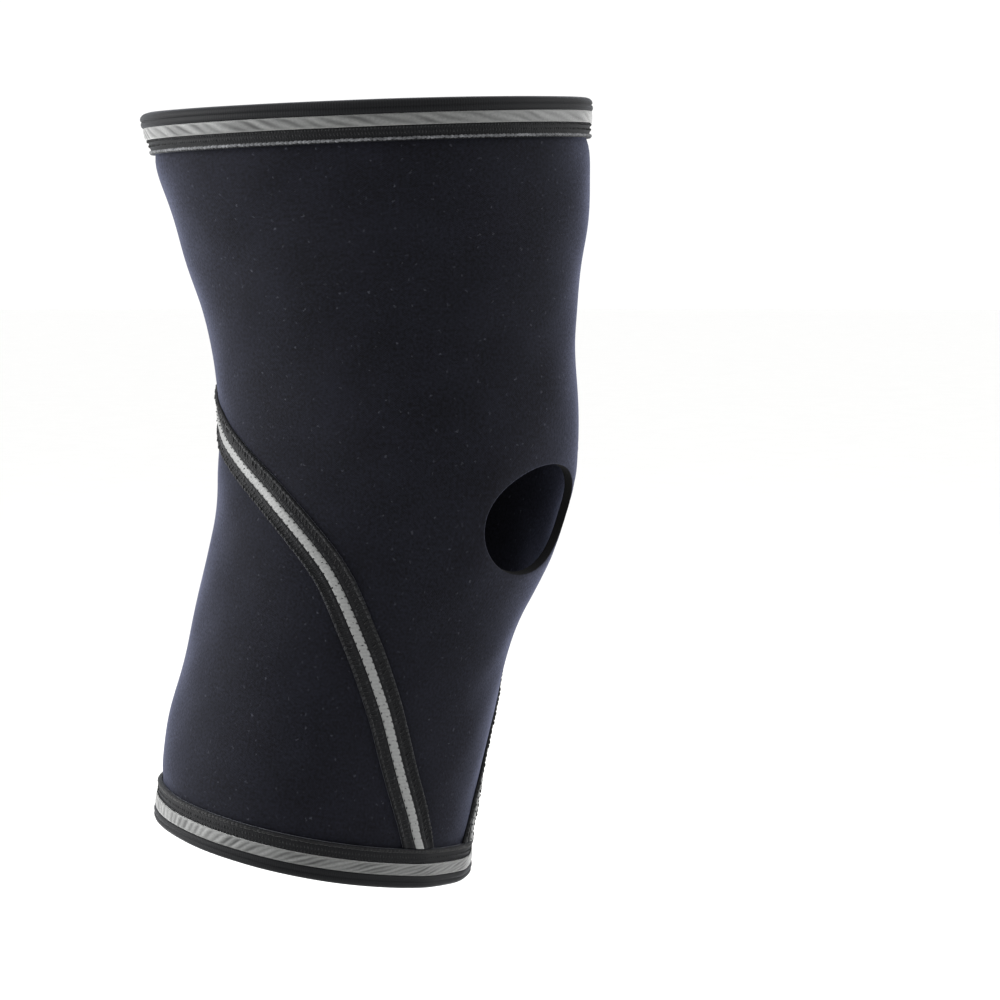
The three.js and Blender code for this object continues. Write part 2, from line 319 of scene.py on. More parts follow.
def rim_relief(turn, station):
    """The bindings grip: the foam is drawn in under them, and once more at the thigh's stitching."""
    depth = np.minimum(station, SLEEVE_LENGTH - station)
    grip = np.clip((GRIP_START - depth) / GRIP_EASE, 0, 1)
    tuck = np.exp(-(((SLEEVE_LENGTH - station - TUCK_PLACE) / TUCK_WIDTH) ** 2))
    return -RIM_GRIP * grip * grip * (3 - 2 * grip) - THIGH_TUCK * tuck


def seam_relief(turn, station):
    x = np.mod(turn * KNEE_RADIUS, 2 * HALF_ROUND)
    nearest = np.full(len(x), np.inf)
    for seam_x, seam_y in SEAM[::EVERY_SEAM_POINT]:
        nearest = np.minimum(nearest, (x - seam_x) ** 2 + (station - seam_y) ** 2)
    above_binding = np.clip((station - TAPE_END) / BINDING_EASE, 0, 1)
    height = TAPE_UNDER_BINDING - (TAPE_UNDER_BINDING + SEAM_SINK) * above_binding
    return height * np.exp(-nearest / SEAM_REACH**2)


def opening_relief(turn, station):
    half_width, rise, drop = opening_size()
    x = (np.mod(turn + math.pi, 2 * math.pi) - math.pi) * KNEE_RADIUS / half_width
    y = (station - OPENING_STATION) * 2 / (rise + drop)
    outside = np.hypot(x, y) - 1
    fading = np.exp(-((outside / SWELL_REACH) ** 2))
    return OPENING_SWELL * np.clip(np.abs(x), 0, 1) ** 2 * fading


# %% Flat to worn
def put_on(bm):
    flat = flat_points(bm)
    turn, station = flat[:, 0] / KNEE_RADIUS, flat[:, 1]
    normal = face_frame(turn, station)[2]
    relief = sum(
        part(turn, station)
        for part in (unevenness, front_relief, rim_relief, seam_relief, opening_relief)
    )
    lift = (flat[:, 2] + relief)[:, None]
    move_to(bm, (outer_face(turn, station) + normal * lift) / 1000)


# %% [markdown]
# ## Colours and the node helper
# The colours are read as sRGB hex values, as a colour picker shows them, and Blender's shaders want them
# linear, so one function turns them. One more function adds a node, sets its options and fills its
# inputs, where a node stands for its first output.

# %% Helpers for materials
def linear(hex_colour):
    channels = [int(hex_colour[i : i + 2], 16) / 255 for i in (1, 3, 5)]
    curved = [c / 12.92 if c <= 0.04045 else ((c + 0.055) / 1.055) ** 2.4 for c in channels]
    return (*curved, 1)


def add_node(tree, kind, inputs, **settings):
    made = tree.nodes.new(kind)
    for name, value in settings.items():
        setattr(made, name, value)
    for name, value in inputs.items():
        if isinstance(value, bpy.types.Node):
            value = value.outputs[0]
        if isinstance(value, bpy.types.NodeSocket):
            tree.links.new(value, made.inputs[name])
        else:
            made.inputs[name].default_value = value
    return made


def empty_material(name):
    material = bpy.data.materials.new(name)
    material.use_nodes = True
    material.node_tree.nodes.clear()
    return material, material.node_tree


# %% [markdown]
# ## Neoprene with a jersey face
# The foam is black, closed-cell chloroprene. A navy polyester jersey is glued to both of its faces. Jersey
# shows fine upright columns of loops, it is matt straight on, and the fuzz of its yarn catches light at
# grazing angles, so the sleeve pales towards its outline. Sheen gives that. The real columns are 0.5 mm
# apart, too fine for the render, so they are drawn 0.9 mm apart. A few specks of lint stick to it.

# %% Jersey face
COLUMN_PITCH = 0.9
COURSE_PITCH = 0.7
LINT_SPACING = 4.6

jersey, tree = empty_material("navy_polyester_jersey")
flat_place = add_node(tree, "ShaderNodeUVMap", {})
in_mm = add_node(tree, "ShaderNodeVectorMath", {0: flat_place, 1: (1000, 1000, 1000)}, operation="MULTIPLY")
axes = add_node(tree, "ShaderNodeSeparateXYZ", {0: in_mm})
column = add_node(
    tree, "ShaderNodeMath", {0: axes.outputs["X"], 1: 2 * math.pi / COLUMN_PITCH}, operation="MULTIPLY"
)
column_wave = add_node(tree, "ShaderNodeMath", {0: column}, operation="SINE")
course = add_node(
    tree, "ShaderNodeMath", {0: axes.outputs["Y"], 1: 2 * math.pi / COURSE_PITCH}, operation="MULTIPLY"
)
course_wave = add_node(tree, "ShaderNodeMath", {0: course}, operation="SINE")
loops = add_node(tree, "ShaderNodeMath", {0: column_wave, 1: course_wave}, operation="MULTIPLY")
fuzz = add_node(
    tree, "ShaderNodeTexNoise", {"Vector": in_mm, "Scale": 0.9, "Detail": 4, "Roughness": 0.7}
)
mottle = add_node(
    tree, "ShaderNodeTexNoise", {"Vector": in_mm, "Scale": 0.05, "Detail": 3, "Roughness": 0.6}
)
faint_mottle = add_node(tree, "ShaderNodeMath", {0: mottle, 1: 0.3}, operation="MULTIPLY")
print("columns of loops round the knee:", round(2 * HALF_ROUND / COLUMN_PITCH))

# %% Lint on the jersey
curl = add_node(tree, "ShaderNodeTexNoise", {"Vector": in_mm, "Scale": 0.9, "Detail": 2})
curled = add_node(
    tree,
    "ShaderNodeVectorMath",
    {0: curl.outputs["Color"], 1: (2.6, 2.6, 0), 2: in_mm},
    operation="MULTIPLY_ADD",
)
fluff = add_node(
    tree, "ShaderNodeTexVoronoi", {"Vector": curled, "Scale": 1 / LINT_SPACING}, voronoi_dimensions="2D"
)
fluff_mask = add_node(
    tree,
    "ShaderNodeMapRange",
    {"Value": fluff, "From Min": 0.03, "From Max": 0.09, "To Min": 1, "To Max": 0},
)
fluff_tone = add_node(
    tree,
    "ShaderNodeMapRange",
    {"Value": fluff.outputs["Color"], "From Min": 0.4, "From Max": 0.9, "To Min": 0, "To Max": 0.24},
)
lint = add_node(tree, "ShaderNodeMath", {0: fluff_mask, 1: fluff_tone}, operation="MULTIPLY")

# %% Dye and sheen of the jersey
knit_shade = add_node(
    tree,
    "ShaderNodeMapRange",
    {"Value": loops, "From Min": -1, "From Max": 1, "To Min": -0.1, "To Max": 0.1},
)
shade = add_node(tree, "ShaderNodeMath", {0: fuzz, 1: knit_shade}, operation="ADD")
shade = add_node(tree, "ShaderNodeMath", {0: shade, 1: faint_mottle}, operation="ADD")
pile_range = {"From Min": 0.5, "From Max": 0.8, "To Min": 0.38, "To Max": 0.74}
pile = add_node(tree, "ShaderNodeMapRange", {"Value": shade, **pile_range})
dyed = add_node(tree, "ShaderNodeMapRange", {"Value": shade, "From Min": 0.48, "From Max": 0.82})
colour = add_node(
    tree, "ShaderNodeMix", {0: dyed, 6: linear("#08080b"), 7: linear("#14151c")}, data_type="RGBA"
)
speckled = add_node(
    tree, "ShaderNodeMix", {0: lint, 6: colour.outputs[2], 7: linear("#5d5f68")}, data_type="RGBA"
)
relief = add_node(tree, "ShaderNodeBump", {"Height": shade, "Strength": 0.35, "Distance": 0.0002})
shader = add_node(
    tree,
    "ShaderNodeBsdfPrincipled",
    {
        "Base Color": speckled.outputs[2],
        "Roughness": 0.9,
        "Specular IOR Level": 0.08,
        "Sheen Weight": pile,
        "Sheen Roughness": 0.32,
        "Sheen Tint": linear("#a3a9cc"),
        "Normal": relief,
    },
)
add_node(tree, "ShaderNodeOutputMaterial", {"Surface": shader})

# %% Cut foam
foam, tree = empty_material("black_closed_cell_foam")
place = add_node(tree, "ShaderNodeTexCoord", {})
pores = add_node(tree, "ShaderNodeTexVoronoi", {"Vector": place.outputs["Object"], "Scale": 2500})
relief = add_node(tree, "ShaderNodeBump", {"Height": pores, "Strength": 0.5, "Distance": 0.0002})
shader = add_node(
    tree,
    "ShaderNodeBsdfPrincipled",
    {"Base Color": linear("#0b0b0c"), "Roughness": 0.95, "Specular IOR Level": 0.1, "Normal": relief},
)
add_node(tree, "ShaderNodeOutputMaterial", {"Surface": shader})

# %% [markdown]
# ## Woven tape, its grey stripe and the thread
# Seam tape and rim binding are one narrow woven polyester ribbon, black at its edges and grey down its
# middle. The grey warp floats over several weft threads at a time, so it is smoother and brighter. It gets
# two greys, a lighter and a darker copy: on the seam it lies flat and its grey is lighter, and at the rims
# it is gathered, its grey is darker with painted shade and the hollows between its ribs are painted nearly
# black as shade. Its ribs shine by sheen.

# %% Woven black
WEFT_PITCH = 0.8

woven_black, tree = empty_material("black_woven_polyester")
flat_place = add_node(tree, "ShaderNodeUVMap", {})
in_mm = add_node(tree, "ShaderNodeVectorMath", {0: flat_place, 1: (1000, 1000, 1000)}, operation="MULTIPLY")
weave = add_node(
    tree,
    "ShaderNodeTexWave",
    {"Vector": in_mm, "Scale": 2 * math.pi / WEFT_PITCH / 20, "Distortion": 1.5, "Detail": 2},
    wave_type="BANDS",
    bands_direction="X",
)
fibres = add_node(
    tree, "ShaderNodeTexNoise", {"Vector": in_mm, "Scale": 1.4, "Detail": 4, "Roughness": 0.7}
)
height = add_node(tree, "ShaderNodeMath", {0: weave.outputs["Fac"], 1: fibres}, operation="ADD")
tint = add_node(tree, "ShaderNodeMapRange", {"Value": height, "From Min": 0.4, "From Max": 1.5})
colour = add_node(
    tree, "ShaderNodeMix", {0: tint, 6: linear("#08080a"), 7: linear("#131416")}, data_type="RGBA"
)
relief = add_node(tree, "ShaderNodeBump", {"Height": height, "Strength": 0.3, "Distance": 0.0002})
shader = add_node(
    tree,
    "ShaderNodeBsdfPrincipled",
    {
        "Base Color": colour.outputs[2],
        "Roughness": 0.62,
        "Specular IOR Level": 0.1,
        "Sheen Weight": 0.3,
        "Sheen Roughness": 0.26,
        "Sheen Tint": linear("#b8bcc6"),
        "Normal": relief,
    },
)
add_node(tree, "ShaderNodeOutputMaterial", {"Surface": shader})


# %% Grey satin
def grey_ribbon(name, dark, light, painted_hollow_shade, sheen):
    """The ribbon's grey satin. The hollow attribute paints shade on it between its ribs."""
    material, tree = empty_material(name)
    flat_place = add_node(tree, "ShaderNodeUVMap", {})
    in_mm = add_node(
        tree, "ShaderNodeVectorMath", {0: flat_place, 1: (1000, 1000, 1000)}, operation="MULTIPLY"
    )
    fibres = add_node(
        tree, "ShaderNodeTexNoise", {"Vector": in_mm, "Scale": 1.1, "Detail": 5, "Roughness": 0.75}
    )
    yarn = add_node(
        tree, "ShaderNodeMix", {0: fibres, 6: linear(dark), 7: linear(light)}, data_type="RGBA"
    )
    # Painted shade: between the ribs the yarn colour is mixed towards a dark grey by how deep the place
    # lies.
    hollow = add_node(tree, "ShaderNodeAttribute", {}, attribute_name="hollow")
    colour = add_node(
        tree,
        "ShaderNodeMix",
        {0: hollow.outputs["Fac"], 6: yarn.outputs[2], 7: linear(painted_hollow_shade)},
        data_type="RGBA",
    )
    relief = add_node(tree, "ShaderNodeBump", {"Height": fibres, "Strength": 0.4, "Distance": 0.0002})
    shader = add_node(
        tree,
        "ShaderNodeBsdfPrincipled",
        {
            "Base Color": colour.outputs[2],
            "Roughness": 0.5,
            "Specular IOR Level": 0.35,
            "Sheen Weight": sheen,
            "Sheen Roughness": 0.3,
            "Normal": relief,
        },
    )
    add_node(tree, "ShaderNodeOutputMaterial", {"Surface": shader})
    return material


seam_grey = grey_ribbon("grey_polyester_satin_flat", "#555658", "#858684", "#3f4041", 0.05)
# The gathered copy is darker all over and nearly black in its hollows: painted shade. The shine of its ribs
# is real sheen.
rim_grey_with_painted_shade = grey_ribbon("grey_polyester_satin_gathered_painted_shade", "#38393b", "#7c7d7b", "#0f1011", 1.0)


# %% Bulked thread
def bulked_thread(name, dark, light):
    """Thread of loose, curled filaments: it shows its twist as a fine change of tone."""
    material, tree = empty_material(name)
    place = add_node(tree, "ShaderNodeTexCoord", {})
    twist = add_node(
        tree, "ShaderNodeTexNoise", {"Vector": place.outputs["Object"], "Scale": 1800, "Detail": 3}
    )
    wear = add_node(
        tree, "ShaderNodeTexNoise", {"Vector": place.outputs["Object"], "Scale": 420, "Detail": 2}
    )
    tone = add_node(tree, "ShaderNodeMath", {0: twist, 1: wear}, operation="MULTIPLY")
    tone = add_node(tree, "ShaderNodeMapRange", {"Value": tone, "From Min": 0.17, "From Max": 0.42})
    colour = add_node(
        tree, "ShaderNodeMix", {0: tone, 6: linear(dark), 7: linear(light)}, data_type="RGBA"
    )
    shader = add_node(
        tree,
        "ShaderNodeBsdfPrincipled",
        {
            "Base Color": colour.outputs[2],
            "Roughness": 0.6,
            "Specular IOR Level": 0.15,
            "Sheen Weight": 0.16,
            "Sheen Roughness": 0.3,
        },
    )
    add_node(tree, "ShaderNodeOutputMaterial", {"Surface": shader})
    return material


black_thread = bulked_thread("black_bulked_polyester_thread", "#08080a", "#151617")
charcoal_thread = bulked_thread("charcoal_bulked_polyester_thread", "#0a0b0c", "#222325")
grey_thread = bulked_thread("grey_bulked_polyester_thread", "#3a3b3d", "#6a6b6e")
print("materials:", [m.name for m in (jersey, foam, woven_black, seam_grey, rim_grey_with_painted_shade, charcoal_thread)])


# %% Finished pieces
def finished(name, bm, materials, node=None):
    """Writes the mesh, rides it on the body and lets it stand for its solid."""
    mesh = bpy.data.meshes.new(name)
    bm.to_mesh(mesh)
    bm.free()
    mesh.shade_smooth()
    piece = bpy.data.objects.new(name, mesh)
    scene.collection.objects.link(piece)
    for material in materials:
        mesh.materials.append(material)
    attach(piece, "root")
    if node:
        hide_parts(node)
    print(name, "triangles:", sum(len(p.vertices) - 2 for p in mesh.polygons))
    return piece


def close_ring(bm):
    """Merges the two ends of a flat ring, which meet at the back once it is put on."""
    bmesh.ops.remove_doubles(bm, verts=bm.verts, dist=0.00002)
    bmesh.ops.recalc_face_normals(bm, faces=bm.faces)


def open_ends(bm, half):
    """Deletes the end walls of a flat piece, so that it can close on itself at the back."""
    walls = [f for f in bm.faces if all(abs(abs(v.co.x) - half) < 1e-3 for v in f.verts)]
    bmesh.ops.delete(bm, geom=walls, context="FACES_ONLY")
    loose = [e for e in bm.edges if not e.link_faces]
    bmesh.ops.delete(bm, geom=loose, context="EDGES")


# %% [markdown]
# ## Laying a strip along the seam
# The tape, its stripe and its stitches are modelled straight, with x along the seam and y beside it.
# One function turns both into places in the flat pattern, so that widths stay true on the body.

# %% Straight to seam
HEADING_REACH = 1.5


def dot(a, b):
    return (a * b).sum(axis=1)


def lay_on_seam(bm):
    """The seam's heading comes from two points, a little before and a little after each place."""
    strip = flat_points(bm)
    run, beside = strip[:, 0], strip[:, 1]
    x, y = (np.interp(run, SEAM_RUN, SEAM[:, k]) for k in (0, 1))
    ahead, behind = run + HEADING_REACH, run - HEADING_REACH
    heading = [
        np.interp(ahead, SEAM_RUN, SEAM[:, k]) - np.interp(behind, SEAM_RUN, SEAM[:, k]) for k in (0, 1)
    ]
    across, up, normal = face_frame(x / KNEE_RADIUS, y)
    along = across * (heading[0] / KNEE_RADIUS)[:, None] + up * heading[1][:, None]
    sideways = np.cross(normal, along)
    sideways *= (beside / np.linalg.norm(sideways, axis=1))[:, None]
    tilt, wide, high = dot(across, up), dot(across, across), dot(up, up)
    size = wide * high - tilt * tilt
    turn = (dot(sideways, across) * high - dot(sideways, up) * tilt) / size
    rise = (dot(sideways, up) * wide - dot(sideways, across) * tilt) / size
    move_to(bm, np.stack([x + turn * KNEE_RADIUS, y + rise, strip[:, 2]], axis=1))


# %% [markdown]
# ## The two panels
# A panel is one sheet. It starts as a grid in the flat pattern. The seam's line is a function of the place
# round the sleeve, so if each column of the grid is first slid down by the seam's height there, the seam
# becomes a straight line and one `bisect_plane` cuts along it. The columns are slid back after that.
# The sheet gets its thickness while it is flat. Its cut edge, where the foam shows, is bevelled a little,
# as a blade leaves it.

# %% Cutting along the seam
CELL = 2.2
CUT_GAP = 0.15
PANEL_EDGE = 1.7
CUT_BEVEL = 0.35
SHORTEST_EDGE = 0.3


def seam_height(x):
    """The seam's station at a place round the sleeve, carried on steeply past both its ends."""
    around = np.mod(x, 2 * HALF_ROUND)
    (x0, y0), (x1, y1) = SEAM[:2]
    (x2, y2), (x3, y3) = SEAM[-2:]
    before = y0 + (y1 - y0) / (x1 - x0) * (around - x0)
    after = y3 + (y3 - y2) / (x3 - x2) * (around - x3)
    along = np.interp(around, SEAM[:, 0], SEAM[:, 1])
    return np.where(around < x0, before, np.where(around > x3, after, along))


def slide(bm, sign):
    flat = flat_points(bm)
    flat[:, 1] += sign * seam_height(flat[:, 0])
    move_to(bm, flat)


def flat_sheet():
    """The whole sleeve's sheet, with its two ends at the centre of the back."""
    length = SLEEVE_LENGTH - 2 * PANEL_EDGE
    bm = bmesh.new()
    bmesh.ops.create_grid(
        bm, x_segments=2 * round(HALF_ROUND / CELL), y_segments=round(length / CELL), size=0.5
    )
    bmesh.ops.scale(bm, vec=(2 * HALF_ROUND, length, 1), verts=bm.verts)
    bmesh.ops.translate(bm, vec=(0, SLEEVE_LENGTH / 2, 0), verts=bm.verts)
    return bm


def cut_at_seam(bm, keep_above):
    slide(bm, -1)
    bmesh.ops.bisect_plane(
        bm,
        geom=bm.verts[:] + bm.edges[:] + bm.faces[:],
        plane_co=(0, CUT_GAP if keep_above else -CUT_GAP, 0),
        plane_no=(0, 1, 0),
        clear_inner=keep_above,
        clear_outer=not keep_above,
    )
    slide(bm, 1)
    bmesh.ops.remove_doubles(bm, verts=bm.verts, dist=SHORTEST_EDGE)


def thicken(bm):
    """Gives the flat sheet its wall, with foam on its cut edges."""
    bmesh.ops.solidify(bm, geom=bm.faces[:], thickness=WALL)
    flat = flat_points(bm)
    depth = flat[:, 2]
    flat[:, 2] = np.where(np.abs(depth - depth.min()) < 0.5 * WALL, -WALL, 0.0)
    move_to(bm, flat)
    bmesh.ops.recalc_face_normals(bm, faces=bm.faces)
    for face in bm.faces:
        face.material_index = 1 if abs(face.normal.z) < 0.5 else 0
    rim = [e for e in bm.edges if len({f.material_index for f in e.link_faces}) == 2]
    inside = [e for e in rim if any(abs(abs(v.co.x) - HALF_ROUND) > 1e-3 for v in e.verts)]
    bmesh.ops.bevel(
        bm, geom=inside, affect="EDGES", offset=CUT_BEVEL, segments=2, profile=0.5, material=-1
    )


# %% [markdown]
# ## The kneecap opening
# The opening is cut through the front panel before it is sewn. A block of the grid's cells is taken out
# round it, and the block's edge is extruded inwards four times, each time a part of the way to the
# opening's outline. The last ring lies on the outline, so the cut edge has clean, even faces.

# %% Opening
BLOCK_MARGIN = 5
RINGS = 4


def on_outline(point):
    """The place on the opening's edge that lies in a point's direction from its centre."""
    half_width, rise, drop = opening_size()
    x, y = point.x, point.y - OPENING_STATION
    power, high = (UPPER_ROUNDNESS, rise) if y > 0 else (LOWER_ROUNDNESS, drop)
    share = (abs(x / half_width) ** power + abs(y / high) ** power) ** (1 / power)
    return Vector((x / share, OPENING_STATION + y / share, 0))


def cut_opening(bm):
    half_width, rise, drop = (size + BLOCK_MARGIN for size in opening_size())
    block = []
    for face in bm.faces:
        centre = face.calc_center_median()
        above = centre.y - OPENING_STATION
        if abs(centre.x) < half_width and -drop < above < rise:
            block.append(face)
    outside = {e for e in bm.edges if e.is_boundary}
    bmesh.ops.delete(bm, geom=block, context="FACES")
    ring = [e for e in bm.edges if e.is_boundary and e not in outside]
    for steps_left in range(RINGS, 0, -1):
        made = bmesh.ops.extrude_edge_only(bm, edges=ring)["geom"]
        ring = [g for g in made if isinstance(g, bmesh.types.BMEdge) and g.is_boundary]
        for vert in {v for e in ring for v in e.verts}:
            vert.co += (on_outline(vert.co) - vert.co) / steps_left
    bmesh.ops.recalc_face_normals(bm, faces=bm.faces)
    if sum(f.normal.z for f in bm.faces) < 0:
        bmesh.ops.reverse_faces(bm, faces=bm.faces)


# %% Panels put on
BESIDE_BINDING = (
    # mm high, mm past the binding, mm wide: the stitching pulls the foam in, and it swells further on
    (0.1, 6.5, 3.5),
    (-0.45, 0.8, 1.6),
)
UNDER_BINDING = -2


def pinch(bm):
    flat = flat_points(bm)
    depth = np.minimum(flat[:, 1], SLEEVE_LENGTH - flat[:, 1]) - BINDING_WIDTH
    relief = sum(h * np.exp(-(((depth - middle) / wide) ** 2)) for h, middle, wide in BESIDE_BINDING)
    flat[:, 2] += np.where(flat[:, 2] > -WALL / 2, relief * (depth > UNDER_BINDING), 0)
    move_to(bm, flat)


def panel(name, node, keep_above):
    bm = flat_sheet()
    cut_at_seam(bm, keep_above)
    if keep_above:
        cut_opening(bm)
    thicken(bm)
    save_flat_as_uv(bm)
    pinch(bm)
    open_ends(bm, HALF_ROUND)
    put_on(bm)
    close_ring(bm)
    return finished(name, bm, [jersey, foam], node)


front_panel = panel("front_neoprene_panel", "front_panel", True)
calf_panel = panel("calf_neoprene_panel", "calf_panel", False)

# %% [markdown]
# ## The rim bindings
# A binding is the woven ribbon folded over the rim like a letter U, with its rolled edge along the rim.
# Its section is a closed loop of points that `spin` turns round a plain cylinder, and the cylinder is
# then bent to the sleeve. Spinning closes the ring without a join.

# %% Binding section
CYLINDER = 100
SPIN_STEPS = 300
STRIPE_START = ROLL_WIDTH
STRIPE_END = ROLL_WIDTH + RIM_STRIPE_WIDTH

BINDING_SECTION = (
    # mm from the rim, mm above the outer face
    (BINDING_WIDTH - 0.1, -0.3), (BINDING_WIDTH, 1.1), (BINDING_WIDTH - 0.2, 1.35),
    (BINDING_WIDTH - 0.6, 1.4), (BINDING_WIDTH - 1.0, 1.15), (BINDING_WIDTH - 1.3, 0.85),
    (BINDING_WIDTH - 2.0, 0.95), (BINDING_WIDTH - 2.7, 1.15), (BINDING_WIDTH - 3.3, 1.1),
    (BINDING_WIDTH - 3.7, 0.9), (STRIPE_END + 0.9, 0.95), (STRIPE_END + 0.5, 1.2),
    (STRIPE_END + 0.1, 1.15), (STRIPE_END, 0.8), (STRIPE_START, 0.8),
    (STRIPE_START - 0.1, 1.45), (STRIPE_START - 0.5, 1.75), (3.6, 1.85),
    (3.0, 1.7), (2.7, 1.35), (2.45, 1.3),
    (2.2, 1.6), (1.6, 1.65), (0.9, 1.3),
    (0.35, 0.6), (0.08, -0.2), (0, -1.1),
    (0, -2.1), (0.3, -3.2), (1, -4),
    (2, -4.4), (3.2, -4.5), (6, -4.45),
    (INNER_LEG_WIDTH - 0.3, -4.4), (INNER_LEG_WIDTH, -4), (INNER_LEG_WIDTH, -3.4),
    (INNER_LEG_WIDTH - 0.3, -3.3), (2.2, -3.3), (1.5, -3.1),
    (1.4, -2), (1.4, -0.4), (1.6, 0.25),
    (2.2, 0.3),
)
print("points in the binding's section:", len(BINDING_SECTION))


# %% Binding spun and unrolled
def from_rim(depth, thigh):
    return SLEEVE_LENGTH - depth if thigh else depth


def spun(section, thigh):
    """Spins a closed section of depths and lifts round a plain cylinder."""
    bm = bmesh.new()
    corners = [bm.verts.new((CYLINDER + lift, 0, from_rim(depth, thigh))) for depth, lift in section]
    edges = [bm.edges.new((a, b)) for a, b in zip(corners, corners[1:] + corners[:1])]
    whole_turn = {"cent": (0, 0, 0), "axis": (0, 0, 1), "angle": 2 * math.pi, "steps": SPIN_STEPS}
    bmesh.ops.spin(bm, geom=corners + edges, use_merge=True, **whole_turn)
    bmesh.ops.remove_doubles(bm, verts=bm.verts, dist=0.001)
    bmesh.ops.recalc_face_normals(bm, faces=bm.faces)
    return bm


def unroll(bm):
    """Reads the plain cylinder as a flat pattern, with the front where its -Y is."""
    ring = flat_points(bm)
    turn = np.arctan2(ring[:, 0], -ring[:, 1])
    lift = np.hypot(ring[:, 0], ring[:, 1]) - CYLINDER
    move_to(bm, np.stack([turn * KNEE_RADIUS, ring[:, 2], lift], axis=1))


def save_ring_uv(bm):
    """A ring's faces at the back would stretch across the whole map, so their far corners are moved on."""
    uv = bm.loops.layers.uv.verify()
    for face in bm.faces:
        reach = max(v.co.x for v in face.verts)
        for loop in face.loops:
            x = loop.vert.co.x
            if reach - x > HALF_ROUND:
                x += 2 * HALF_ROUND
            loop[uv].uv = (x / 1000, loop.vert.co.y / 1000)


def binding(name, node, thigh):
    bm = spun(BINDING_SECTION, thigh)
    unroll(bm)
    save_ring_uv(bm)
    put_on(bm)
    return finished(name, bm, [woven_black], node)


thigh_binding = binding("thigh_rim_binding", "thigh_binding", True)
calf_binding = binding("calf_rim_binding", "calf_binding", False)

# %% [markdown]
# ## The grey stripes
# The stripe is a satin band. Where the binding is turned over the rim and sewn down under tension, the band
# gathers into slanting ribs like the strands of a rope, and they catch the light one by one, so they are
# modelled. A fine grid is raised into ribs whose lines bend towards the stripe's edges. How deep a place
# lies between ribs is stored with its vertex, and the material paints shade into the hollows by it.
# The stripe on the seam is held flat by its stitching and has a much finer rib.

# %% Rim stripes
SATIN_RIBS = {
    # mm between ribs, mm that a rib runs along the rim for each mm across the stripe at the side and
    # how much more at the front, and how strong the ribs and the painted shade in their hollows are at the
    # side and how much more at the front
    "thigh": (8.5, (-2.2, -0.3), (1.1, -0.4)),
    "calf": (3.7, (1.1, 1.5), (1.0, 0)),
}
RIB_SPREAD = 0.33
RIB_HEIGHT = 0.42
RIB_DRIFT = 0.6
RIB_ROUNDNESS = 1.5
RIB_BEND = 0.35
FOLD_SHARE = 0.35
RIBS_PER_FOLD = 2.6
EDGE_DROP = 0.3
STRIPE_FLOOR = 0.95
RIM_STRIPE_TOP = 1.7
SEAM_STRIPE_TOP = 1.5


def closed_strip(columns, rows, length, width, floor):
    """A thin closed strip with its top at z = 1 and its underside at the floor."""
    bm = bmesh.new()
    bmesh.ops.create_grid(bm, x_segments=columns, y_segments=rows, size=0.5)
    bmesh.ops.scale(bm, vec=(length, width, 1), verts=bm.verts)
    bmesh.ops.translate(bm, vec=(0, 0, 1), verts=bm.verts)
    bmesh.ops.solidify(bm, geom=bm.faces[:], thickness=1)
    bmesh.ops.recalc_face_normals(bm, faces=bm.faces)
    for vert in bm.verts:
        vert.co.z = floor if vert.co.z < 0.5 or vert.co.z > 1.5 else 1
    bmesh.ops.recalc_face_normals(bm, faces=bm.faces)
    return bm


def set_hollows(bm, depths):
    layer = bm.verts.layers.float.get("hollow") or bm.verts.layers.float.new("hollow")
    for vert, depth in zip(bm.verts, depths):
        vert[layer] = depth


def raise_ribs(bm, top, period, slant, height, edge, strength, spread=0.0, drift=0.0):
    """Raises a strip's top into slanting ribs. Slant and strength may change from the front to the
    back, and drift makes the ribs uneven."""
    flat = flat_points(bm)
    turn, across = flat[:, 0] / KNEE_RADIUS, flat[:, 1] / edge
    front = np.cos(turn)
    lean = (slant[0] + slant[1] * front) * edge * across * (1 + RIB_BEND * across**2)
    run = flat[:, 0] - spread * KNEE_RADIUS * np.sin(turn) - lean
    wander = drift * (np.sin(5 * turn + 1) + np.sin(11 * turn + 3) + np.sin(23 * turn))
    rib = 0.5 + 0.5 * np.cos(2 * math.pi * run / period + wander)
    rib = 1 - (1 - rib) ** RIB_ROUNDNESS
    if drift:
        folds = round(2 * HALF_ROUND / period / RIBS_PER_FOLD)
        fold = 0.5 + 0.5 * np.cos(folds * turn - lean / period * 3 + 4 * np.sin(3 * turn))
        rib = (1 - FOLD_SHARE) * rib + FOLD_SHARE * fold
    uneven = 1 - 0.4 * (drift > 0) * np.sin(7 * turn + 2) ** 2
    at_edge = np.abs(across) ** 5
    firm = (strength[0] + strength[1] * front) * uneven * (1 - at_edge)
    raised = top - height * (1 - rib) * firm - EDGE_DROP * at_edge
    on_top = flat[:, 2] > STRIPE_FLOOR + 1e-6
    flat[:, 2] = np.where(on_top, raised, flat[:, 2])
    move_to(bm, flat)
    # How deep each place lies between ribs is kept for the painted shade in the hollows.
    set_hollows(bm, np.where(on_top, (1 - rib) * firm, 0))


